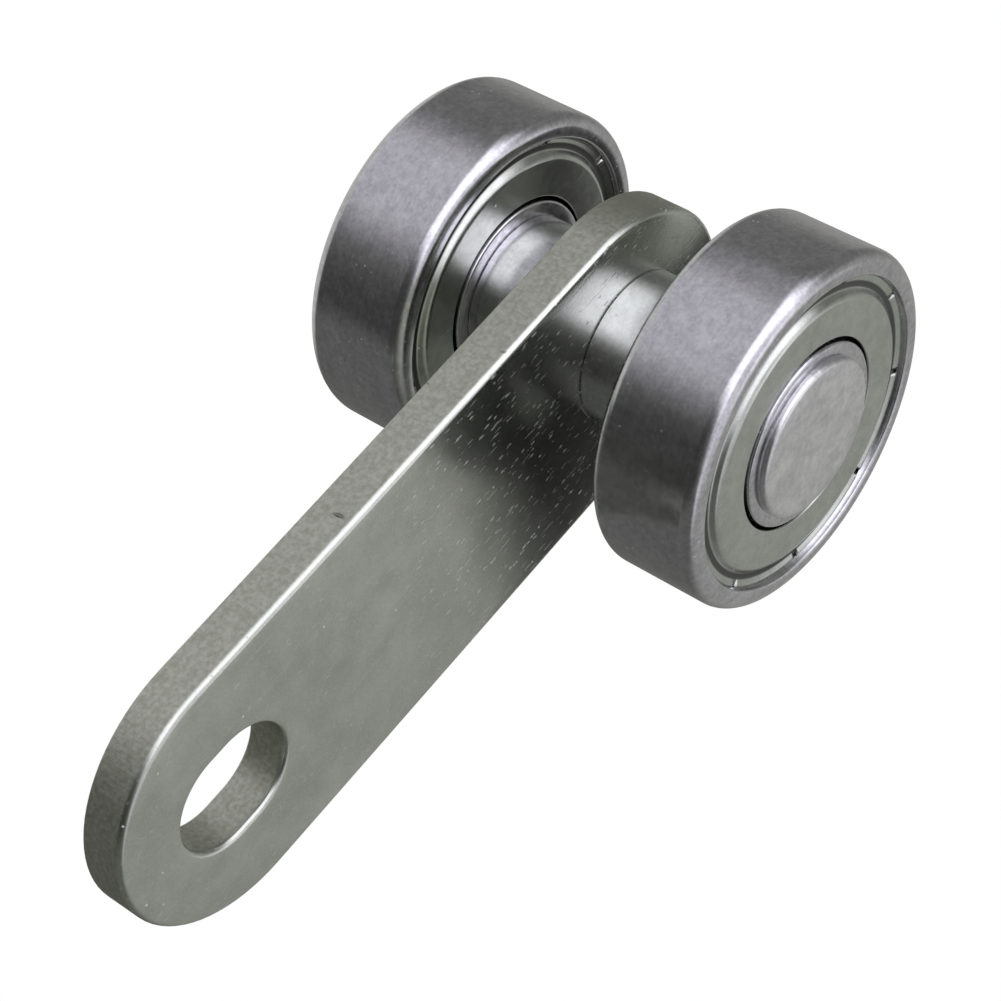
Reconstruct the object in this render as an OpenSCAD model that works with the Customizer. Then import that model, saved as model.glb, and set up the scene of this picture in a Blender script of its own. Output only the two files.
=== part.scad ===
// Twin-wheel roller for a hanging sliding door: a flat hanger plate with a riveted axle through its
// upper end, and a shielded ball bearing on each side of the plate that serves as the wheel.
// Origin: the axle's centre, at the plate's mid-plane. +Z is up, the axle lies along Y, and the plate
// hangs down -Z. The front bearing is on the -Y side and the back bearing on the +Y side.

/* [Bearings] */
// Outer diameter of a bearing, which is the tread that rolls in the track
bearing_od = 22; // [22:0.1:23]
// Bore of a bearing, which the axle pin fills
bearing_bore = 8; // [7:0.1:8]
// Width of a bearing
bearing_w = 7; // [7:0.1:8]
// Radius of the outer ring's rounded outer corners
ring_corner_r = 0.8; // [0.3:0.1:1]
// Diameter of a ball
ball_d = 3.969; // [3.8:0.001:3.969]
// Gap between a ball and each raceway
race_gap = 0.02; // [0.02:0.01:0.04]

/* [Shields] */
// Thickness of a shield's pressed sheet
shield_t = 0.3; // [0.2:0.05:0.3]
// How far a shield's flat lies below the bearing's side face
shield_recess = 0.11; // [0.05:0.01:0.2]
// How far a shield's crimped rim lies below the bearing's side face
rim_recess = 0.38; // [0.36:0.02:0.46]
// Width of a crimping notch in the rim
notch_w = 0.4; // [0.3:0.1:1.2]
// Turn of the first notch about the axle
notch_turn = 26; // [0:1:40]

/* [Hanger plate] */
// Thickness of the plate
plate_t = 2.8; // [2:0.1:4]
// Width of the plate, which also sets its rounded ends
plate_w = 17.6; // [16:0.1:20]
// Height of the plate above the axle
plate_above = 8.4; // [8:0.1:10]
// Reach of the plate below the axle
plate_below = 43.4; // [43:0.1:60]

/* [Door slot] */
// Width of the slot, a clearance for an M6 screw
slot_w = 6.8; // [6.4:0.1:7]
// Length of the slot from end to end
slot_len = 8; // [7.2:0.1:12]
// Distance from the axle down to the slot's centre
slot_drop = 35; // [33:0.1:35]

/* [Axle] */
// Length of each spacer between the plate and a bearing
spacer_len = 5.55; // [4:0.05:8]
// Outer diameter of a spacer
spacer_od = 9.6; // [9.4:0.1:11]
// Diameter of the pin's two heads
head_d = 9.8; // [9:0.1:10.6]
// Height of the flat front head above the bearing's face
front_head_h = 0.55; // [0.4:0.05:1]
// Height of the domed back head above the bearing's face
back_head_h = 0.9; // [0.6:0.05:1.5]

/* [Hidden] */
$fn = 96;
ball_count = 7;       // balls in a bearing
notch_count = 9;      // crimping notches round a shield's rim
edge_r = 0.35;        // rounding of the front head's edge
bore_chamfer = 0.3;   // chamfer at a bearing's bore
seat_chamfer = 0.2;   // chamfer at the mouth of a shield's recess
cage_t = 0.3;         // thickness of the cage's pressed strip
pocket_gap = 0.085;   // gap between a ball and its cage pocket
rivet_r = 0.3;        // shank of a cage rivet
rivet_head_r = 0.5;   // head of a cage rivet
rivet_head_h = 0.2;   // height of a cage rivet's head

ring_r = bearing_od / 2;
bore_r = bearing_bore / 2;
half_w = bearing_w / 2;
ball_r = ball_d / 2;
pitch_r = (ring_r + bore_r) / 2;             // circle that the balls' centres lie on
race_r = ball_r * 1.028;                     // radius of a raceway's groove, just over the ball's
outer_land_r = ring_r - 2.2;                 // outer ring's bore, beside the raceway
seat_r = ring_r - 1.4;                       // recess that a shield's rim is crimped into
inner_land_r = bore_r + 1.95;                // inner ring's shoulder, beside the raceway
inner_face_r = bore_r + 1.68;                // inner ring's land inside a shield's bore
shield_bore_r = inner_face_r + 0.24;         // running gap round the inner ring
rim_y = half_w - rim_recess;                 // outer side of a shield's rim
seat_y = rim_y - 0.42;                       // ledge that a shield rests on
flat_y = half_w - shield_recess;             // outer side of a shield's flat
bearing_y = plate_t / 2 + spacer_len + half_w; // distance from the mid-plane to a bearing's centre
face_y = bearing_y + half_w;                 // bearing's outer face
cage_half_w = 0.75;                          // half the width of the cage's strip, across the radius
pocket_r = ball_r + pocket_gap;

FRONT = -1;
BACK = 1;
INBOARD = -1;   // towards the plate
OUTBOARD = 1;   // away from the plate

// Turns a section drawn as (radius, distance along the axle) about the axle. side BACK points the
// distance along +Y and FRONT along -Y.
module turned(side = BACK) {
  rotate([-90 * side, 0, 0]) rotate_extrude() children();
}

// Puts its children at a bearing's centre, with their +Z pointing away from the plate, or towards
// it when facing is INBOARD.
module at_bearing(side, facing = OUTBOARD) {
  translate([0, side * bearing_y, 0]) rotate([-90 * side * facing, 0, 0]) children();
}

// Rectangle from [x0, y0] to [x1, y1]
module box2d(x0, x1, y0, y1) {
  translate([x0, y0]) square([x1 - x0, y1 - y0]);
}

// What is cut from a square corner at [x, y] to round it: dx and dy point into the material
module corner_cut(x, y, dx, dy, r) {
  translate([x, y]) scale([dx, dy, 1]) difference() {
    translate([-0.1, -0.1]) square(r + 0.1);
    translate([r, r]) circle(r);
  }
}

// ---- Hanger plate ----

// Strip with round ends: its two end circles are centred on x = 0 at the heights y_top and y_low
module strip2d(w, y_top, y_low) {
  translate([0, y_top]) circle(d = w);
  translate([0, y_low]) circle(d = w);
  box2d(-w / 2, w / 2, y_low, y_top);
}

module hanger_plate() {
  slot_half = (slot_len - slot_w) / 2;
  color("#9a9c90") rotate([90, 0, 0]) linear_extrude(plate_t, center = true) difference() {
    strip2d(plate_w, plate_above - plate_w / 2, plate_w / 2 - plate_below);
    circle(bore_r);
    strip2d(slot_w, slot_half - slot_drop, -slot_half - slot_drop);
  }
}

// ---- Axle ----

// The pin holds the whole stack together: both heads bear on the inner rings
module axle_pin() {
  head_r = head_d / 2;
  dome_r = (head_r * head_r + back_head_h * back_head_h) / (2 * back_head_h);
  color("#b5b5b0") turned() {
    box2d(0, bore_r, -face_y, face_y);
    difference() {
      box2d(0, head_r, -face_y - front_head_h, -face_y);
      corner_cut(head_r, -face_y - front_head_h, -1, 1, edge_r);
    }
    intersection() {
      box2d(0, head_r, face_y, face_y + back_head_h);
      translate([0, face_y + back_head_h - dome_r]) circle(dome_r, $fn = 360);
    }
  }
}

module spacer(side) {
  color("#b9bab8") turned(side)
    box2d(bore_r, spacer_od / 2, plate_t / 2, plate_t / 2 + spacer_len);
}

// ---- Bearing rings ----

module outer_ring(side) {
  color("#a7a4ad") at_bearing(side) rotate_extrude() difference() {
    box2d(outer_land_r, ring_r, -half_w, half_w);
    for (end = [-1, 1]) {
      box2d(outer_land_r - 1, seat_r, end > 0 ? seat_y : -half_w - 1, end > 0 ? half_w + 1 : -seat_y);
      corner_cut(ring_r, end * half_w, -1, -end, ring_corner_r);
      translate([seat_r, end * half_w]) rotate(45) square(seat_chamfer * sqrt(2), center = true);
    }
    translate([pitch_r + ball_r + race_gap - race_r, 0]) circle(race_r);
  }
}

module inner_ring(side) {
  relief_y = seat_y + 0.1;
  color("#b4b1ba") at_bearing(side) rotate_extrude() difference() {
    union() {
      box2d(bore_r, inner_face_r, -half_w, half_w);
      box2d(bore_r, inner_land_r, -relief_y, relief_y);
    }
    translate([pitch_r - ball_r - race_gap + race_r, 0]) circle(race_r);
    for (end = [-1, 1])
      translate([bore_r, end * half_w]) rotate(45) square(bore_chamfer * sqrt(2), center = true);
  }
}

// ---- Shields ----

// Pressed sheet: the rim is crimped into the outer ring, then comes a sunk groove, a shoulder, and
// the flat that reaches in to the inner ring
module shield_section() {
  rim_in = seat_r - 0.38;
  groove = rim_in - 0.14;
  polygon([
    [seat_r, seat_y], [seat_r, rim_y - 0.07], [seat_r - 0.08, rim_y], [rim_in + 0.08, rim_y],
    [rim_in, rim_y - 0.07], [groove, rim_y - 0.14], [groove - 0.38, rim_y - 0.14],
    [groove - 0.6, flat_y - 0.19], [groove - 0.72, flat_y - 0.06], [groove - 0.92, flat_y],
    [shield_bore_r + 0.06, flat_y], [shield_bore_r, flat_y - 0.06], [shield_bore_r, flat_y - shield_t],
    [groove - 1.05, flat_y - shield_t], [groove - 0.9, flat_y - shield_t - 0.06], [groove - 0.62, seat_y]
  ]);
}

module shield(side, facing) {
  color("#8f928c") at_bearing(side, facing) difference() {
    rotate_extrude() shield_section();
    for (i = [0 : notch_count - 1])
      rotate(notch_turn + i * 360 / notch_count)
        translate([seat_r, 0, rim_y]) cube([0.5, notch_w, 0.44], center = true);
  }
}

// ---- Cage and balls ----

// The balls stand on the pitch circle, the first one straight above the axle
module on_pitch(side, turn) {
  translate([0, side * bearing_y, 0]) rotate([0, turn, 0]) translate([0, 0, pitch_r]) children();
}

module ball(side, number) {
  color("#c4c4c8") on_pitch(side, (number - 1) * 360 / ball_count) sphere(ball_r);
}

// The same balls as seen from at_bearing, for the cage's pockets: the first one lies along Y
module each_pitch(facing, side, offset_turns = 0) {
  for (i = [0 : ball_count - 1])
    rotate((i + offset_turns) * 360 / ball_count)
      translate([0, -side * facing * pitch_r, 0]) children();
}

// Pressed strip that lies flat between the balls and bulges round each one
module cage_half(side, facing) {
  color("#8c8a86") at_bearing(side, facing) difference() {
    intersection() {
      rotate_extrude() box2d(pitch_r - cage_half_w, pitch_r + cage_half_w, 0, ball_r + 1);
      union() {
        cylinder(h = cage_t, r = ring_r);
        each_pitch(facing, side) sphere(pocket_r + cage_t);
      }
    }
    each_pitch(facing, side) sphere(pocket_r);
    each_pitch(facing, side, 0.5) cylinder(h = 3, r = rivet_r, center = true);
  }
}

module cage_rivets(side) {
  color("#77756f") at_bearing(side) each_pitch(OUTBOARD, side, 0.5) {
    cylinder(h = 2 * cage_t, r = rivet_r, center = true);
    for (end = [-1, 1])
      translate([0, 0, end * (cage_t + rivet_head_h / 2)])
        cylinder(h = rivet_head_h, r = rivet_head_r, center = true);
  }
}

hanger_plate();
axle_pin();
spacer(FRONT);  // front_spacer
spacer(BACK);  // back_spacer
outer_ring(FRONT);  // front_outer_ring
inner_ring(FRONT);  // front_inner_ring
shield(FRONT, INBOARD);  // front_inboard_shield
shield(FRONT, OUTBOARD);  // front_outboard_shield
cage_half(FRONT, INBOARD);  // front_cage_inboard_half
cage_half(FRONT, OUTBOARD);  // front_cage_outboard_half
cage_rivets(FRONT);  // front_cage_rivets
ball(FRONT, 1);  // front_ball_1
ball(FRONT, 2);  // front_ball_2
ball(FRONT, 3);  // front_ball_3
ball(FRONT, 4);  // front_ball_4
ball(FRONT, 5);  // front_ball_5
ball(FRONT, 6);  // front_ball_6
ball(FRONT, 7);  // front_ball_7
outer_ring(BACK);  // back_outer_ring
inner_ring(BACK);  // back_inner_ring
shield(BACK, INBOARD);  // back_inboard_shield
shield(BACK, OUTBOARD);  // back_outboard_shield
cage_half(BACK, INBOARD);  // back_cage_inboard_half
cage_half(BACK, OUTBOARD);  // back_cage_outboard_half
cage_rivets(BACK);  // back_cage_rivets
ball(BACK, 1);  // back_ball_1
ball(BACK, 2);  // back_ball_2
ball(BACK, 3);  // back_ball_3
ball(BACK, 4);  // back_ball_4
ball(BACK, 5);  // back_ball_5
ball(BACK, 6);  // back_ball_6
ball(BACK, 7);  // back_ball_7
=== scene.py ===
import math

import bmesh
import bpy
from mathutils import Matrix, Vector


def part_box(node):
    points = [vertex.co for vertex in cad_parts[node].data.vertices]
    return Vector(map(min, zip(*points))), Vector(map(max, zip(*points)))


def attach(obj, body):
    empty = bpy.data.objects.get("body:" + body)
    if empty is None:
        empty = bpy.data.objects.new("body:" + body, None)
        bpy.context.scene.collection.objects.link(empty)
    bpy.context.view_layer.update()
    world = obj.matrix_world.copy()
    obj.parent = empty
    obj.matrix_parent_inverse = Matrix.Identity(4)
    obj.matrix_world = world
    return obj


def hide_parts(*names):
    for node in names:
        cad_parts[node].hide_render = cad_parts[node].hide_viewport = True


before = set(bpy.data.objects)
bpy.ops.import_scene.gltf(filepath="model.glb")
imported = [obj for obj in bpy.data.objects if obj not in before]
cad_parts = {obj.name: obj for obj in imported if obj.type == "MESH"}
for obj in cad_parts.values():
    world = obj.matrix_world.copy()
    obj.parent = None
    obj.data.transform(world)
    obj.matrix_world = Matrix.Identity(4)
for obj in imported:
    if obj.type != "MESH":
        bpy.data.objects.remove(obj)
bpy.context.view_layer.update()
mm = 0.001

# ---- Hanger plate ----
# A strip of thick steel plate, blanked with its axle hole and its door slot in one press stroke.
# The stroke draws the front edge round and leaves the cut wall torn. The zinc plating over it
# dulls to an olive grey, with pale scuffs near the axle.

plate_low, plate_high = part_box("hanger_plate")
plate_front = plate_low.y
plate_back = plate_high.y
plate_half = plate_high.x
plate_top = plate_high.z - plate_half       # centre of the upper round end
plate_foot = plate_low.z + plate_half       # centre of the lower round end
axle_hole = 4 * mm
slot_half = 3.4 * mm
slot_top = -34.4 * mm                       # centre of the slot's upper round end
slot_foot = -35.6 * mm                      # centre of its lower one
axle_border = 0.5 * mm                      # flat border kept round the axle's hole
slot_border = 0.7 * mm
rim_border = 1.0 * mm
drawn_edge = 0.36 * mm                      # rounding that the press leaves on the front
drawn_fall = 0.035 * mm                     # how far the front falls away towards its border
struck_edge = 0.10 * mm                     # the sharper edge at the back
hole_edge = 0.15 * mm                       # edge of a hole, apart from the slot's front
slot_front_edge = 0.30 * mm
same_place = 1e-6                           # vertices this close, in metres, are one


def strip_loop(bm, radius, top, foot, y):
    """A loop with two straight sides and two round ends, level with y; gives back its edges."""
    before = set(bm.edges)
    first = bm.verts.new((radius, y, top))
    arc = bmesh.ops.spin(bm, geom=[first], cent=(0, y, top), axis=(0, 1, 0), angle=-math.pi, steps=40)
    turned_over = [v for v in arc["geom_last"] if isinstance(v, bmesh.types.BMVert)]
    side = bmesh.ops.extrude_vert_indiv(bm, verts=turned_over)
    bmesh.ops.translate(bm, verts=side["verts"], vec=(0, 0, foot - top))
    arc = bmesh.ops.spin(bm, geom=side["verts"], cent=(0, y, foot), axis=(0, 1, 0), angle=-math.pi,
                         steps=40)
    last = [v for v in arc["geom_last"] if isinstance(v, bmesh.types.BMVert)][0]
    bm.edges.new((last, first))
    return [e for e in bm.edges if e not in before]


def round_loop(bm, radius, y):
    """A circle about the axle, level with y; gives back its edges."""
    level = Matrix.Translation((0, y, 0)) @ Matrix.Rotation(math.pi / 2, 4, "X")
    made = bmesh.ops.create_circle(bm, segments=72, radius=radius, matrix=level)
    return list(dict.fromkeys(e for v in made["verts"] for e in v.link_edges))


def bridge(bm, one, other):
    bmesh.ops.bridge_loops(bm, edges=one + other)


def round_edges(bm, edges, size, segments):
    bmesh.ops.bevel(bm, geom=edges, offset=size, offset_type="OFFSET", segments=segments,
                    profile=0.5, affect="EDGES", clamp_overlap=True, material=-1)


def from_strip(co, top, foot):
    """Distance from the middle line of a strip shape."""
    return math.hypot(co.x, co.z - min(max(co.z, foot), top))


def edges_on(bm, top, foot, radius, y):
    """The edges that lie on a strip loop."""
    def on(v):
        level = abs(v.co.y - y) < same_place
        return level and abs(from_strip(v.co, top, foot) - radius) < same_place
    return [e for e in bm.edges if all(on(v) for v in e.verts)]


def finished(bm, name, body, slot, *nodes):
    """Makes a piece of the mesh: it rides on its body and stands for its CAD nodes."""
    bmesh.ops.remove_doubles(bm, verts=bm.verts, dist=same_place)
    bmesh.ops.dissolve_degenerate(bm, edges=bm.edges, dist=1e-7)
    bmesh.ops.recalc_face_normals(bm, faces=bm.faces)
    mesh = bpy.data.meshes.new(name)
    bm.to_mesh(mesh)
    bm.free()
    mesh.shade_smooth()
    piece = bpy.data.objects.new(name, mesh)
    bpy.context.scene.collection.objects.link(piece)
    even = piece.modifiers.new("flats_stay_flat", "WEIGHTED_NORMAL")
    even.weight = 80
    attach(piece, body)
    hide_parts(*nodes)
    return piece


bm = bmesh.new()
rims = []
bores = []
slots = []
for y, rim_level in ((plate_front, plate_front + drawn_fall), (plate_back, plate_back)):
    rim = strip_loop(bm, plate_half, plate_top, plate_foot, rim_level)
    inside_rim = strip_loop(bm, plate_half - rim_border, plate_top, plate_foot, y)
    bore = round_loop(bm, axle_hole, y)
    outside_bore = round_loop(bm, axle_hole + axle_border, y)
    slot = strip_loop(bm, slot_half, slot_top, slot_foot, y)
    outside_slot = strip_loop(bm, slot_half + slot_border, slot_top, slot_foot, y)
    bridge(bm, rim, inside_rim)
    bridge(bm, bore, outside_bore)
    bridge(bm, slot, outside_slot)
    bmesh.ops.triangle_fill(bm, use_beauty=True, edges=inside_rim + outside_bore + outside_slot)
    rims.append(rim)
    bores.append(bore)
    slots.append(slot)
for front, back in (rims, bores, slots):
    bridge(bm, front, back)
bmesh.ops.recalc_face_normals(bm, faces=bm.faces)
round_edges(bm, edges_on(bm, plate_top, plate_foot, plate_half, plate_front + drawn_fall), drawn_edge, 6)
round_edges(bm, edges_on(bm, plate_top, plate_foot, plate_half, plate_back), struck_edge, 3)
round_edges(bm, edges_on(bm, slot_top, slot_foot, slot_half, plate_front), slot_front_edge, 5)
round_edges(bm, edges_on(bm, slot_top, slot_foot, slot_half, plate_back), hole_edge, 3)
round_edges(bm, edges_on(bm, 0, 0, axle_hole, plate_front), hole_edge, 2)
round_edges(bm, edges_on(bm, 0, 0, axle_hole, plate_back), hole_edge, 2)
plate = finished(bm, "zinc_plated_strip", "hanger", "zinc_plate", "hanger_plate")


class Field:
    """A value in a node tree. Arithmetic on it adds the Math nodes."""

    def __init__(self, finish, socket):
        self.finish = finish
        self.socket = socket

    def maths(self, operation, *values):
        return self.finish.node("ShaderNodeMath", {"operation": operation}, dict(enumerate(values)))

    def __add__(self, other):
        return self.maths("ADD", self, other)

    __radd__ = __add__

    def __sub__(self, other):
        return self.maths("SUBTRACT", self, other)

    def __rsub__(self, other):
        return self.maths("SUBTRACT", other, self)

    def __mul__(self, other):
        return self.maths("MULTIPLY", self, other)

    __rmul__ = __mul__

    def __pow__(self, other):
        return self.maths("POWER", self, other)

    def __abs__(self):
        return self.maths("ABSOLUTE", self)

    def at_least(self, other):
        return self.maths("MAXIMUM", self, other)

    def within(self, low, high):
        return self.maths("MINIMUM", self.at_least(low), high)

    def rising(self, low, high):
        """0 below low and 1 above high, with a soft step between; low may be above high."""
        return self.finish.node("ShaderNodeMapRange", {"interpolation_type": "SMOOTHSTEP"},
                                {"Value": self, "From Min": low, "From Max": high})


class Finish:
    """A node tree that is built a node at a time."""

    def __init__(self, tree, coordinates="Object"):
        self.tree = tree
        self.surface = tree.nodes.get("Principled BSDF")
        self.place = self.node("ShaderNodeTexCoord", {}, {}, coordinates)

    def node(self, kind, settings, sockets, output=0):
        """One node: its type, its settings, its sockets' values or links, and the output wanted."""
        made = self.tree.nodes.new(kind)
        for name, value in settings.items():
            setattr(made, name, value)
        for name, value in sockets.items():
            self.feed(made.inputs[name], value)
        return Field(self, made.outputs[output]) if made.outputs else None

    def feed(self, socket, value):
        if isinstance(value, Field):
            self.tree.links.new(value.socket, socket)
        else:
            socket.default_value = value

    def axes(self):
        split = self.node("ShaderNodeSeparateXYZ", {}, {"Vector": self.place})
        return [Field(self, s) for s in split.socket.node.outputs]

    def grain(self, size, detail=2.0, stretch=(1, 1, 1), turn=(0, 0, 0), shift=0.0, place=None):
        """Noise from 0 to 1 whose lumps are about size across, longer where stretch is above 1."""
        spot = self.node("ShaderNodeMapping", {}, {
            "Vector": place or self.place, "Rotation": turn, "Location": (shift, shift, shift),
            "Scale": [1 / (size * s) for s in stretch]})
        return self.node("ShaderNodeTexNoise", {}, {"Vector": spot, "Scale": 1.0, "Detail": detail})

    def specks(self, size, radius, share, shift=0.0, place=None):
        """1 on small spots, one to a cell of that size in a share of the cells."""
        spot = self.node("ShaderNodeMapping", {}, {
            "Vector": place or self.place, "Location": (shift, shift, shift),
            "Scale": [1 / size] * 3})
        away = self.node("ShaderNodeTexVoronoi", {}, {"Vector": spot, "Scale": 1.0}, "Distance")
        cell = self.node("ShaderNodeTexVoronoi", {}, {"Vector": spot, "Scale": 1.0}, "Color")
        chance = self.node("ShaderNodeSeparateColor", {}, {"Color": cell})
        return away.rising(radius / size, 0.5 * radius / size) * chance.rising(share, share - 0.02)

    def mix(self, mask, one, other):
        return self.node("ShaderNodeMix", {"data_type": "RGBA"}, {0: mask, 6: one, 7: other}, 2)

    def relief(self, *heights):
        """Feeds the surface's normal: pairs of a field and the height that its 1 stands for."""
        total = sum(field * (height / mm) for field, height in heights)
        bump = self.node("ShaderNodeBump", {}, {"Height": total, "Distance": mm, "Strength": 1.0})
        self.feed(self.surface.inputs["Normal"], bump)

    def set(self, **values):
        for name, value in values.items():
            self.feed(self.surface.inputs[name.replace("_", " ")], value)


def new_finish(name):
    material = bpy.data.materials.new(name)
    material.use_nodes = True
    finish = Finish(material.node_tree)
    finish.material = material
    return finish


zinc = new_finish("zinc_plating")
x, y, z = zinc.axes()
rise = z - z.within(plate_foot, plate_top)
inward = plate_half - (x * x + rise * rise) ** 0.5
slot_rise = z - z.within(slot_foot, slot_top)
from_slot = (x * x + slot_rise * slot_rise) ** 0.5 - slot_half
wall = inward.rising(0.10 * mm, 0.03 * mm) + from_slot.rising(0.10 * mm, 0.03 * mm)
torn = wall * y.rising(plate_front + 0.25 * mm, plate_front + 0.45 * mm)
near_axle = z.rising(-22 * mm, -13 * mm)
cloud = zinc.grain(11 * mm, 3.0)
blotch = zinc.grain(2.2 * mm, 4.0, shift=7.0)
grit = zinc.grain(0.16 * mm, 2.0, shift=3.0)
rolled = zinc.grain(0.22 * mm, 2.0, stretch=(1, 1, 30), turn=(0, 0.12, 0))
rubbed = zinc.grain(0.35 * mm, 1.0, stretch=(1, 1, 16), turn=(0, 0.75, 0), shift=5.0).rising(0.66, 0.78)
tear = zinc.grain(0.20 * mm, 3.0, stretch=(1, 9, 1), shift=9.0)
flake = zinc.grain(0.28 * mm, 4.0, shift=12.0)
cleft = zinc.grain(0.9 * mm, 2.0, stretch=(1, 3, 1), shift=15.0).rising(0.70, 0.76)
dust = zinc.specks(1.1 * mm, 0.10 * mm, 0.22) * (1 - torn)
drawn_out = zinc.node("ShaderNodeMapping", {}, {
    "Vector": zinc.place, "Rotation": (0, 0.25, 0), "Scale": (1.2, 1.2, 0.42)})
bead = zinc.specks(0.42 * mm, 0.12 * mm, 0.75, shift=11.0, place=drawn_out) * (1 - torn)
bead = bead * (0.25 + 0.75 * near_axle) * grit.rising(0.36, 0.60)
streak = zinc.grain(0.16 * mm, 1.0, stretch=(1, 1, 7), turn=(0, 0.10, 0), shift=17.0)
streak = streak.rising(0.66, 0.74) * near_axle
lit = 0.35 * cloud + 0.35 * blotch + 0.3 * grit
face_shade = zinc.mix(lit.rising(0.30, 0.70), (0.50, 0.53, 0.475, 1), (0.68, 0.705, 0.645, 1))
torn_shade = zinc.mix(flake.rising(0.26, 0.74), (0.44, 0.45, 0.38, 1), (0.61, 0.62, 0.55, 1))
torn_shade = zinc.mix(0.6 * cleft, torn_shade, (0.16, 0.16, 0.14, 1))
# The torn edge turns a darker olive brown towards the plate's upper end, in patches.
top_end_darkening = z.rising(1 * mm, 7 * mm) * (0.25 + 0.75 * flake.rising(0.35, 0.60))
torn_shade = zinc.mix(0.80 * top_end_darkening, torn_shade, (0.24, 0.25, 0.18, 1))
shade = zinc.mix(torn, face_shade, torn_shade)
pale = (0.7 * dust + 0.48 * bead + 0.25 * streak * (1 - torn)).within(0, 1)
shade = zinc.mix(pale, shade, (0.72, 0.73, 0.71, 1))
worn = 0.19 + 0.10 * cloud + 0.09 * blotch + 0.08 * rubbed - 0.07 * near_axle
zinc.set(Metallic=1 - 0.8 * pale, Base_Color=shade,
         Roughness=worn + torn * (0.27 - 0.12 * tear) + 0.4 * pale)
zinc.relief((cloud, 0.030 * mm), (blotch, 0.006 * mm), (grit, 0.0016 * mm), (rolled, 0.0012 * mm),
            (rubbed, -0.003 * mm), (bead, 0.006 * mm), (torn * tear, 0.014 * mm),
            (torn * flake, 0.012 * mm), (torn * cleft, -0.05 * mm))
plate.data.materials.append(zinc.material)

# ---- Axle pin ----
# A turned steel pin through the plate and both wheels. Its front head is flat with a rounded
# edge; the back end is hammered over into a low dome, which clamps the whole stack together.

pin_low, pin_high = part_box("axle_pin")
face_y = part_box("back_outer_ring")[1].y     # outer side of a bearing, from the plate's middle
head_r = pin_high.x
front_head = pin_low.y
dome_rise = pin_high.y - face_y
dome_r = (head_r ** 2 + dome_rise ** 2) / (2 * dome_rise)


def section(bm, points, closed=True):
    """Joins points given as (radius, distance along the axle) into the outline of a turned piece."""
    verts = [bm.verts.new((r, y, 0)) for r, y in points]
    for one, other in zip(verts, verts[1:]):
        bm.edges.new((one, other))
    if closed:
        bm.edges.new((verts[-1], verts[0]))
    return verts


def arc_on(bm, vert, centre, degrees, steps):
    """Carries an outline on from a vertex along an arc; gives back the arc's last vertex."""
    made = bmesh.ops.spin(bm, geom=[vert], cent=(*centre, 0), axis=(0, 0, 1),
                          angle=math.radians(degrees), steps=steps)
    return [v for v in made["geom_last"] if isinstance(v, bmesh.types.BMVert)][0]


def soften(bm, verts, size, segments):
    bmesh.ops.bevel(bm, geom=verts, offset=size, offset_type="OFFSET", segments=segments,
                    profile=0.5, affect="VERTICES", material=-1)


def turn_round(bm, steps=144):
    """Turns the outline about the axle into a solid."""
    bmesh.ops.spin(bm, geom=list(bm.verts) + list(bm.edges), cent=(0, 0, 0), axis=(0, 1, 0),
                   angle=2 * math.pi, steps=steps, use_merge=True)


bm = bmesh.new()
outline = section(bm, [
    (0, front_head), (2.6 * mm, front_head + 0.008 * mm), (4.1 * mm, front_head + 0.03 * mm),
    (head_r, front_head + 0.05 * mm), (head_r, -face_y), (axle_hole, -face_y),
    (axle_hole, face_y), (head_r, face_y)], closed=False)
dome_half = math.degrees(math.asin(head_r / dome_r))
arc_on(bm, outline[-1], (0, face_y + dome_rise - dome_r), dome_half, 14)
head_corner = outline[3]
dome_foot = outline[7]
soften(bm, [head_corner], 0.30 * mm, 7)
soften(bm, [dome_foot], 0.12 * mm, 3)
turn_round(bm)
pin = finished(bm, "riveted_pin", "hanger", "pin_steel", "axle_pin")

pin_finish = new_finish("pin_steel")
lumps = pin_finish.grain(1.3 * mm, 2.0)
peened = pin_finish.grain(0.45 * mm, 3.0, shift=4.0)
dents = pin_finish.specks(1.25 * mm, 0.34 * mm, 0.5, shift=2.0)
grit = pin_finish.grain(0.12 * mm, 2.0, shift=8.0)
tone = (0.4 * lumps + 0.35 * peened + 0.25 * grit).rising(0.3, 0.7)
shade = pin_finish.mix(tone, (0.62, 0.62, 0.635, 1), (0.88, 0.88, 0.89, 1))
pin_finish.set(Metallic=1.0, Base_Color=shade, Roughness=0.22 + 0.14 * peened + 0.06 * lumps)
pin_finish.relief((lumps, 0.016 * mm), (peened, 0.007 * mm), (dents, -0.006 * mm), (grit, 0.0012 * mm))
pin.data.materials.append(pin_finish.material)

# ---- Spacers ----
# Two short tubes parted off a bright drawn bar, one on each side of the plate. They hold the
# wheels clear of the plate and are nipped between it and the bearings' inner rings.

spacer_low, spacer_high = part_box("back_spacer")
spacer_r = spacer_high.x


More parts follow.
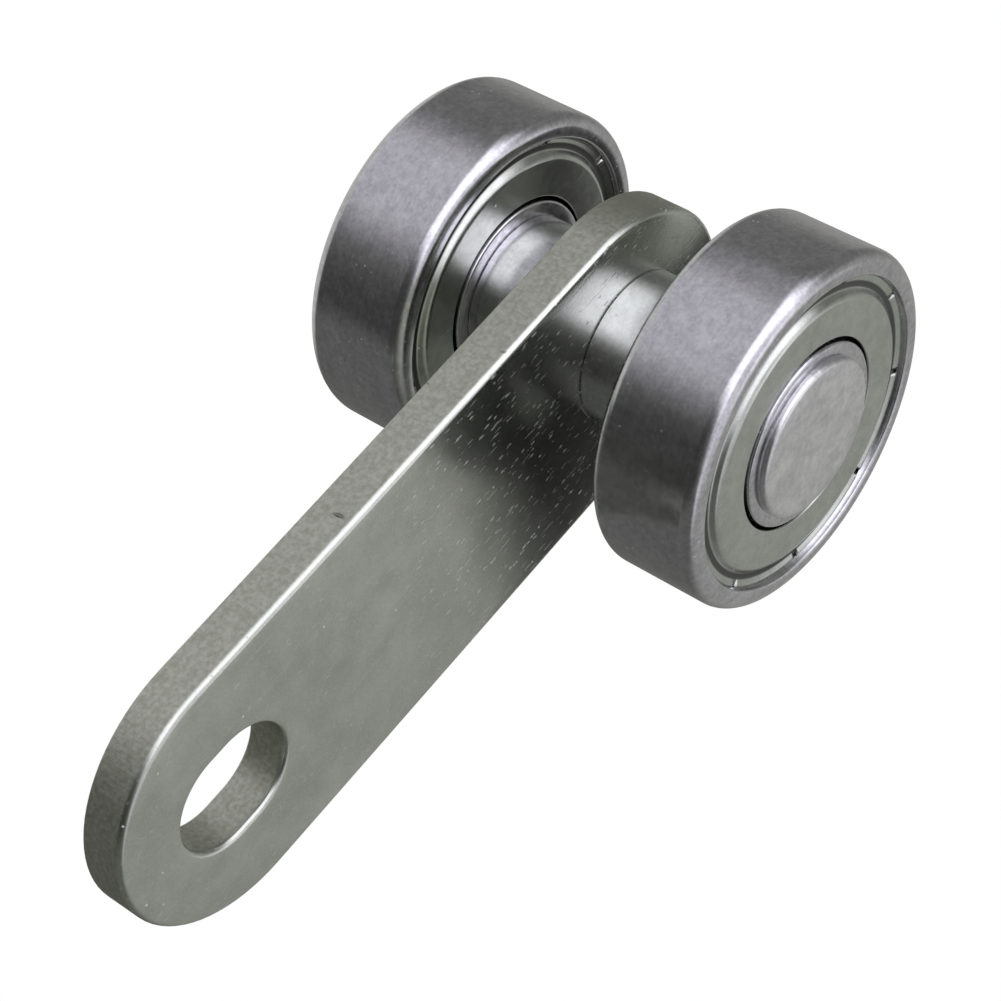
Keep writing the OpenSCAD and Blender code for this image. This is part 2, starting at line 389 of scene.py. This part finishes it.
def turned_finish(name, dark, light, rough, line):
    """Turned or ground steel: rings round the axle about a line wide, handling marks and dust."""
    steel = new_finish(name)
    x, y, z = steel.axes()
    radius = (x * x + z * z) ** 0.5
    rings = steel.node("ShaderNodeCombineXYZ", {}, {"X": radius, "Y": y, "Z": 0.0})
    fine = steel.grain(line, 3.0, place=rings)
    broad = steel.grain(9 * line, 2.0, shift=3.0, place=rings)
    cloud = steel.grain(5 * mm, 3.0, shift=6.0)
    blotch = steel.grain(0.9 * mm, 3.0, shift=1.0)
    grit = steel.grain(0.20 * mm, 3.0, shift=2.0)
    frost = steel.grain(0.42 * mm, 4.0, shift=14.0)
    dust = steel.specks(1.7 * mm, 0.10 * mm, 0.16, shift=4.0)
    powder = steel.specks(0.5 * mm, 0.09 * mm, 0.45, shift=19.0) * cloud.rising(0.45, 0.62)
    pits = steel.specks(0.8 * mm, 0.07 * mm, 0.35, shift=9.0)
    tone = (0.1 * fine + 0.15 * cloud + 0.2 * blotch + 0.25 * grit + 0.3 * frost).rising(0.36, 0.64)
    shade = steel.mix(0.5 * pits, steel.mix(tone, dark, light), (0.28, 0.28, 0.29, 1))
    pale = (0.85 * dust + 0.30 * powder).within(0, 1)
    shade = steel.mix(pale, shade, (0.85, 0.85, 0.86, 1))
    steel.set(Metallic=1 - pale, Base_Color=shade,
              Roughness=rough + 0.08 * cloud + 0.07 * frost + 0.04 * blotch + 0.02 * fine + 0.4 * pale)
    steel.relief((fine, 0.004 * line), (broad, 0.04 * line), (blotch, 0.002 * mm), (frost, 0.0010 * mm),
                 (grit, 0.0004 * mm))
    return steel


spacer_finish = turned_finish("spacer_steel", dark=(0.62, 0.62, 0.635, 1), light=(0.78, 0.78, 0.80, 1),
                              rough=0.10, line=0.20 * mm)
for side, name in ((-1, "front"), (1, "back")):
    bm = bmesh.new()
    outline = section(bm, [
        (axle_hole, side * spacer_low.y), (spacer_r, side * spacer_low.y),
        (spacer_r, side * spacer_high.y), (axle_hole, side * spacer_high.y)])
    soften(bm, outline[1:3], 0.12 * mm, 3)
    turn_round(bm)
    spacer = finished(bm, f"{name}_turned_tube", "hanger", "spacer_steel", f"{name}_spacer")
    spacer.data.materials.append(spacer_finish.material)

# ---- Outer rings ----
# The wheels roll on the outer rings of two ball bearings: hardened chromium steel, ground all
# over, with wide rounded corners. A raceway runs round the bore, between two recesses that
# the shields are crimped into.

ring_low, ring_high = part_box("back_outer_ring")
ring_r = ring_high.x
bearing_y = (ring_low.y + ring_high.y) / 2
half_w = (ring_high.y - ring_low.y) / 2
seat_r = ring_r - 1.4 * mm
seat_y = half_w - 0.80 * mm
land_r = ring_r - 2.2 * mm
ball_low, ball_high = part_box("back_ball_1")
ball_r = (ball_high.y - ball_low.y) / 2
pitch_r = (ball_low.z + ball_high.z) / 2
race_r = 1.028 * ball_r                     # radius of a raceway's groove
race_gap = 0.02 * mm
ring_corner = 0.80 * mm
well_out = 3 * mm                           # further than this from the ring's middle are its faces


def at_radius(bm, radius, beyond=0.0):
    """The outline's vertices at that radius, further than beyond from the ring's middle."""
    return [v for v in bm.verts if abs(v.co.x - radius) < same_place and abs(v.co.y) > beyond]


def at_bearing(bm, side):
    """Shifts a turned piece from the middle of the axle to a bearing's centre."""
    bmesh.ops.translate(bm, verts=bm.verts, vec=(0, side * bearing_y, 0))


ring_finish = turned_finish("ring_steel", dark=(0.49, 0.485, 0.51, 1), light=(0.71, 0.70, 0.73, 1),
                            rough=0.08, line=0.16 * mm)
groove_r = pitch_r + ball_r + race_gap - race_r
groove_y = math.sqrt(race_r ** 2 - (land_r - groove_r) ** 2)
groove_half = math.degrees(math.asin(groove_y / race_r))
for side, name in ((-1, "front"), (1, "back")):
    bm = bmesh.new()
    outline = section(bm, [
        (land_r, groove_y), (land_r, seat_y), (seat_r, seat_y), (seat_r, half_w), (ring_r, half_w),
        (ring_r, -half_w), (seat_r, -half_w), (seat_r, -seat_y), (land_r, -seat_y),
        (land_r, -groove_y)], closed=False)
    arc_on(bm, outline[-1], (groove_r, 0), 2 * groove_half, 14)
    bmesh.ops.remove_doubles(bm, verts=bm.verts, dist=same_place)
    soften(bm, at_radius(bm, ring_r), ring_corner, 9)
    soften(bm, at_radius(bm, seat_r, well_out), 0.10 * mm, 2)
    turn_round(bm, 192)
    at_bearing(bm, side)
    ring = finished(bm, f"{name}_ground_tread", f"{name}_wheel", "ring_steel", f"{name}_outer_ring")
    ring.data.materials.append(ring_finish.material)

# ---- Inner rings ----
# The inner rings are ground from the same steel. They don't turn: the pin fills their bores and
# clamps them, and the balls run in the groove round their outside.

inner_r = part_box("back_inner_ring")[1].x
bore_r = axle_hole
face_r = bore_r + 1.68 * mm                 # outside of the land that shows in a shield's bore
step_y = seat_y + 0.1 * mm
groove_r = pitch_r - ball_r - race_gap + race_r
groove_y = math.sqrt(race_r ** 2 - (groove_r - inner_r) ** 2)
groove_half = math.degrees(math.asin(groove_y / race_r))
for side, name in ((-1, "front"), (1, "back")):
    bm = bmesh.new()
    outline = section(bm, [
        (inner_r, -groove_y), (inner_r, -step_y), (face_r, -step_y), (face_r, -half_w),
        (bore_r, -half_w), (bore_r, half_w), (face_r, half_w), (face_r, step_y),
        (inner_r, step_y), (inner_r, groove_y)], closed=False)
    arc_on(bm, outline[-1], (groove_r, 0), 2 * groove_half, 14)
    bmesh.ops.remove_doubles(bm, verts=bm.verts, dist=same_place)
    soften(bm, at_radius(bm, bore_r), 0.25 * mm, 3)
    soften(bm, at_radius(bm, face_r, well_out), 0.14 * mm, 3)
    turn_round(bm)
    at_bearing(bm, side)
    ring = finished(bm, f"{name}_clamped_ring", "hanger", "ring_steel", f"{name}_inner_ring")
    ring.data.materials.append(ring_finish.material)

# ---- Shields ----
# Each bearing is closed on both sides by a shield pressed from thin plated steel. Its edge is
# rolled over into the outer ring's recess, with notches that let it curl. A sunk groove and a
# raised shoulder stiffen the flat that reaches in to the inner ring.

rim_y = half_w - 0.38 * mm
flat_y = half_w - 0.11 * mm
sheet_t = 0.3 * mm
shield_bore = face_r + 0.24 * mm
rolled_r = seat_r - 0.20 * mm               # where the rolled rim starts to fall towards the groove
sunk_r = seat_r - 0.52 * mm
sunk_y = rim_y - 0.14 * mm
pressed_r = seat_r - 0.02 * mm              # outside of the rim, a hair clear of the recess's wall
notch_count = 9
notch_turn = 26
notch_half = 1.15                           # half the angle of a notch, in degrees
notch_pitch = 360 / notch_count
notch_drop = 0.20 * mm


def shield_finish():
    steel = new_finish("shield_steel")
    x, y, z = steel.axes()
    radius = (x * x + z * z) ** 0.5
    depth = rim_y - abs(abs(y) - bearing_y)
    # Painted shade: the sunk groove and the floors of the rim's notches are darkened nearly to black, as
    # if shadow lay in them.
    painted_groove_shade = radius.rising(sunk_r - 0.5 * mm, sunk_r - 0.3 * mm) * depth.rising(0.10 * mm, 0.14 * mm)
    rings = steel.node("ShaderNodeCombineXYZ", {}, {"X": radius, "Y": 0.0, "Z": 0.0})
    drawn = steel.grain(0.30 * mm, 2.0, place=rings)
    cloud = steel.grain(4 * mm, 3.0, shift=2.0)
    blotch = steel.grain(0.7 * mm, 4.0, shift=5.0)
    grit = steel.grain(0.12 * mm, 2.0, shift=1.0)
    scuff = steel.grain(0.30 * mm, 1.0, stretch=(1, 1, 9), turn=(0, 0.5, 0), shift=3.0)
    scuff = scuff.rising(0.68, 0.80)
    dust = steel.specks(1.5 * mm, 0.09 * mm, 0.16, shift=6.0)
    tone = (0.35 * cloud + 0.35 * blotch + 0.3 * grit).rising(0.3, 0.7)
    shade = steel.mix(tone, (0.47, 0.49, 0.455, 1), (0.63, 0.65, 0.61, 1))
    shade = steel.mix(0.85 * dust, shade, (0.9, 0.9, 0.88, 1))
    # The painted shade in the groove and notches goes into the colour here.
    shade = steel.mix(0.85 * painted_groove_shade, shade, (0.03, 0.03, 0.03, 1))
    steel.set(Metallic=1 - 0.85 * dust, Base_Color=shade,
              Roughness=0.13 + 0.10 * cloud + 0.07 * blotch + 0.06 * scuff + 0.4 * dust + 0.2 * painted_groove_shade)
    steel.relief((cloud, 0.010 * mm), (blotch, 0.003 * mm), (grit, 0.0012 * mm), (drawn, 0.0012 * mm),
                 (scuff, -0.002 * mm))
    return steel


def pressed_shield(bm):
    """A shield round the axle's middle, with its outer side towards -Y."""
    outline = section(bm, [(r, -y) for r, y in [
        (pressed_r, seat_y), (pressed_r, rim_y), (rolled_r, rim_y), (sunk_r, sunk_y),
        (sunk_r - 0.38 * mm, sunk_y), (sunk_r - 0.70 * mm, flat_y), (shield_bore, flat_y),
        (shield_bore, flat_y - sheet_t), (sunk_r - 1.0 * mm, flat_y - sheet_t),
        (sunk_r - 0.62 * mm, seat_y)]])
    folds = ((0.08, 3), (0.09, 4), (0.05, 2), (0.12, 3), (0.22, 6), (0.10, 3))
    for fold, (size, steps) in zip(outline[1:], folds):
        soften(bm, [fold], size * mm, steps)
    turn_round(bm, 180)
    bmesh.ops.remove_doubles(bm, verts=bm.verts, dist=same_place)
    bmesh.ops.recalc_face_normals(bm, faces=bm.faces)
    cut_r = sunk_r - 0.2 * mm
    for number in range(notch_count):
        for turn in (-notch_half, notch_half):
            angle = math.radians(notch_turn + notch_pitch * number + turn)
            along = Vector((math.cos(angle), 0, math.sin(angle)))
            across = Vector((-along.z, 0, along.x))
            near = []
            for face in bm.faces:
                middle = face.calc_center_median()
                if middle.normalized().dot(along) > 0.9 and math.hypot(middle.x, middle.z) > cut_r:
                    near.append(face)
            cut = list(dict.fromkeys(g for f in near for g in (f, *f.edges, *f.verts)))
            bmesh.ops.bisect_plane(bm, geom=cut, plane_co=(0, 0, 0), plane_no=across, dist=1e-7)
    sunk = []
    for face in bm.faces:
        middle = face.calc_center_median()
        turn = (math.degrees(math.atan2(middle.z, middle.x)) - notch_turn) % notch_pitch
        in_notch = min(turn, notch_pitch - turn) < notch_half
        on_rim = math.hypot(middle.x, middle.z) > sunk_r - 0.02 * mm
        if in_notch and on_rim and -middle.y > seat_y + 0.25 * mm:
            sunk.append(face)
    made = bmesh.ops.extrude_face_region(bm, geom=sunk)
    bmesh.ops.delete(bm, geom=sunk, context="FACES")
    pushed = [v for v in made["geom"] if isinstance(v, bmesh.types.BMVert)]
    bmesh.ops.translate(bm, verts=pushed, vec=(0, notch_drop, 0))


shield_steel = shield_finish()
for side, name in ((-1, "front"), (1, "back")):
    for facing, place in ((1, "outboard"), (-1, "inboard")):
        bm = bmesh.new()
        pressed_shield(bm)
        if side * facing > 0:
            turned_over = Matrix.Rotation(math.pi, 3, "X")
            bmesh.ops.rotate(bm, verts=bm.verts, cent=(0, 0, 0), matrix=turned_over)
        at_bearing(bm, side)
        shield = finished(bm, f"{name}_{place}_pressed_cover", f"{name}_wheel", "shield_steel",
                          f"{name}_{place}_shield")
        shield.data.materials.append(shield_steel.material)

# ---- Cages, rivets and balls ----
# Seven hardened and lapped balls run in each bearing. A cage of two pressed strips, closed by a
# rivet between each pair of pockets, keeps them apart. They are as the CAD model has them, and
# only the gap round an inner ring lets them be seen.

cage_finish = new_finish("cage_steel")
pressed = cage_finish.grain(0.5 * mm, 3.0)
oil = cage_finish.grain(2.5 * mm, 3.0, shift=4.0)
shade = cage_finish.mix(oil.rising(0.35, 0.65), (0.36, 0.35, 0.33, 1), (0.52, 0.51, 0.48, 1))
cage_finish.set(Metallic=1.0, Roughness=0.30 + 0.18 * oil, Base_Color=shade)
cage_finish.relief((pressed, 0.004 * mm))
ball_finish = new_finish("ball_steel")
lapped = ball_finish.grain(0.25 * mm, 2.0)
film = ball_finish.grain(1.5 * mm, 3.0, shift=2.0)
shade = ball_finish.mix(film.rising(0.3, 0.7), (0.62, 0.62, 0.63, 1), (0.74, 0.74, 0.75, 1))
ball_finish.set(Metallic=1.0, Roughness=0.05 + 0.06 * film, Base_Color=shade)
ball_finish.relief((lapped, 0.0003 * mm))
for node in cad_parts.values():
    if "_cage_" in node.name:
        node.material_slots[0].material = cage_finish.material
    if "_ball_" in node.name:
        node.material_slots[0].material = ball_finish.material

# ---- Floor, light and camera ----
# A pale studio floor well below the roller, and soft lamps in front and at the left. A dark card
# by the front wheel, seen in reflections only, darkens the plate under the axle. The camera is
# close, below and to the left, and looks up.

floor_level = -92 * mm
floor_reach = 3.0
card_y = -6.5 * mm                          # between the plate and the front wheel
floor_bm = bmesh.new()
bmesh.ops.create_grid(floor_bm, x_segments=8, y_segments=8, size=floor_reach)
bmesh.ops.translate(floor_bm, verts=floor_bm.verts, vec=(0, 0, floor_level))
floor_mesh = bpy.data.meshes.new("studio_floor")
floor_bm.to_mesh(floor_mesh)
floor_bm.free()
floor = bpy.data.objects.new("studio_floor", floor_mesh)
bpy.context.scene.collection.objects.link(floor)
floor.visible_glossy = False
paper = new_finish("floor_paper")
fibre = paper.grain(2 * mm, 3.0)
paper.set(Metallic=0.0, Roughness=0.8 + 0.1 * fibre,
          Base_Color=paper.mix(fibre, (0.86, 0.86, 0.86, 1), (0.90, 0.90, 0.90, 1)),
          Emission_Color=(1, 1, 1, 1), Emission_Strength=0.38)
floor_mesh.materials.append(paper.material)

world = bpy.data.worlds.new("studio")
bpy.context.scene.world = world
world.use_nodes = True
world.node_tree.nodes.clear()
sky = Finish(world.node_tree, "Generated")
x, y, z = sky.axes()
along = 0.78 * x - 0.62 * y                 # across the front lamps, to the right
ahead = 0.08 * z - 0.62 * x - 0.78 * y
low_edge = (z - 0.10 * along).rising(-0.65, -0.25)
high_edge = (z + (0.30 * along).at_least(-0.10 * along)).rising(0.90, 0.55)
side_edges = along.rising(1.00, 0.74) * along.rising(-0.90, -0.50)
front_lamp = 1.7 * low_edge * high_edge * side_edges * ahead.rising(0.0, 0.15)
front_lamp = front_lamp * (0.4 + 0.6 * y.rising(-0.96, -0.80))
side_lamp = 0.48 * x.rising(-0.42, -0.78) * abs(z).rising(0.78, 0.30) * y.rising(0.95, 0.65)
lamps = front_lamp.at_least(side_lamp)
lamp_light = sky.node("ShaderNodeBackground", {}, {"Color": (1.0, 0.985, 1.08, 1), "Strength": lamps})
door = (0.79 * x - 0.44 * y + 0.40 * z).rising(0.5, 0.95)
window = x.rising(0.0, 0.5) * y.rising(0.0, 0.4) * z.rising(0.4, 0.7)
under = z.rising(-0.6, -0.85) * x.rising(0.25, 0.0)
far_wall = 0.50 * y.rising(0.60, 0.85)
room = 0.15 + 0.05 * z.rising(0.2, 1.0) + 0.22 * door + 0.16 * window + far_wall - 0.09 * under
room_light = sky.node("ShaderNodeBackground", {}, {"Color": (1.0, 1.0, 0.955, 1), "Strength": room})
lit = sky.node("ShaderNodeAddShader", {}, {0: lamp_light, 1: room_light})
white = sky.node("ShaderNodeBackground", {}, {"Color": (1, 1, 1, 1), "Strength": 1.0})
seen = sky.node("ShaderNodeLightPath", {}, {}, "Is Camera Ray")
both = sky.node("ShaderNodeMixShader", {}, {0: seen, 1: lit, 2: white})
sky.node("ShaderNodeOutputWorld", {}, {"Surface": both})

card_bm = bmesh.new()
for middle, size in (((14.6, 4.0), (18.8, 36)), ((0.1, -9.6), (10.2, 8.8))):
    made = bmesh.ops.create_grid(card_bm, x_segments=1, y_segments=1, size=0.5)
    upright = Matrix.Rotation(-math.pi / 2, 3, "X")
    there = (middle[0] * mm, card_y, middle[1] * mm)
    bmesh.ops.scale(card_bm, verts=made["verts"], vec=(size[0] * mm, size[1] * mm, 1))
    bmesh.ops.rotate(card_bm, verts=made["verts"], cent=(0, 0, 0), matrix=upright)
    bmesh.ops.translate(card_bm, verts=made["verts"], vec=there)
card_mesh = bpy.data.meshes.new("dark_card")
card_bm.to_mesh(card_mesh)
card_bm.free()
card = bpy.data.objects.new("dark_card", card_mesh)
bpy.context.scene.collection.objects.link(card)
card.visible_camera = False
card.visible_diffuse = False
card.visible_shadow = False
felt = new_finish("card_felt")
nap = felt.grain(0.5 * mm, 2.0)
shade = felt.mix(nap, (0.02, 0.02, 0.02, 1), (0.05, 0.05, 0.05, 1))
felt.set(Metallic=0.0, Roughness=0.9, Base_Color=shade)
clear = felt.node("ShaderNodeBsdfTransparent", {}, {})
behind = felt.node("ShaderNodeNewGeometry", {}, {}, "Backfacing")
x, y, z = felt.axes()
dense = (1 - behind) * z.rising(-14 * mm, -5 * mm) * x.rising(-5 * mm, 2 * mm)
cloth = Field(felt, felt.surface.outputs[0])
one_sided = felt.node("ShaderNodeMixShader", {}, {0: dense, 1: clear, 2: cloth})
felt.feed(felt.tree.nodes["Material Output"].inputs["Surface"], one_sided)
card_mesh.materials.append(felt.material)

bpy.context.scene.view_settings.view_transform = "Standard"

looking = Vector((0.79015, 0.48483, 0.37497))
upward = Vector((-0.58678, 0.42162, 0.69133))
lens = bpy.data.cameras.new("close_lens")
lens.sensor_width = 36
lens.lens = 101.9
lens.clip_start = 5 * mm
lens.clip_end = 20
camera = bpy.data.objects.new("close_camera", lens)
bpy.context.scene.collection.objects.link(camera)
turn = Matrix((looking.cross(upward), upward, -looking)).transposed()
eye = Vector((-125.34, -78.65, -72.14)) * mm
camera.matrix_world = Matrix.Translation(eye) @ turn.to_4x4()
bpy.context.scene.camera = camera
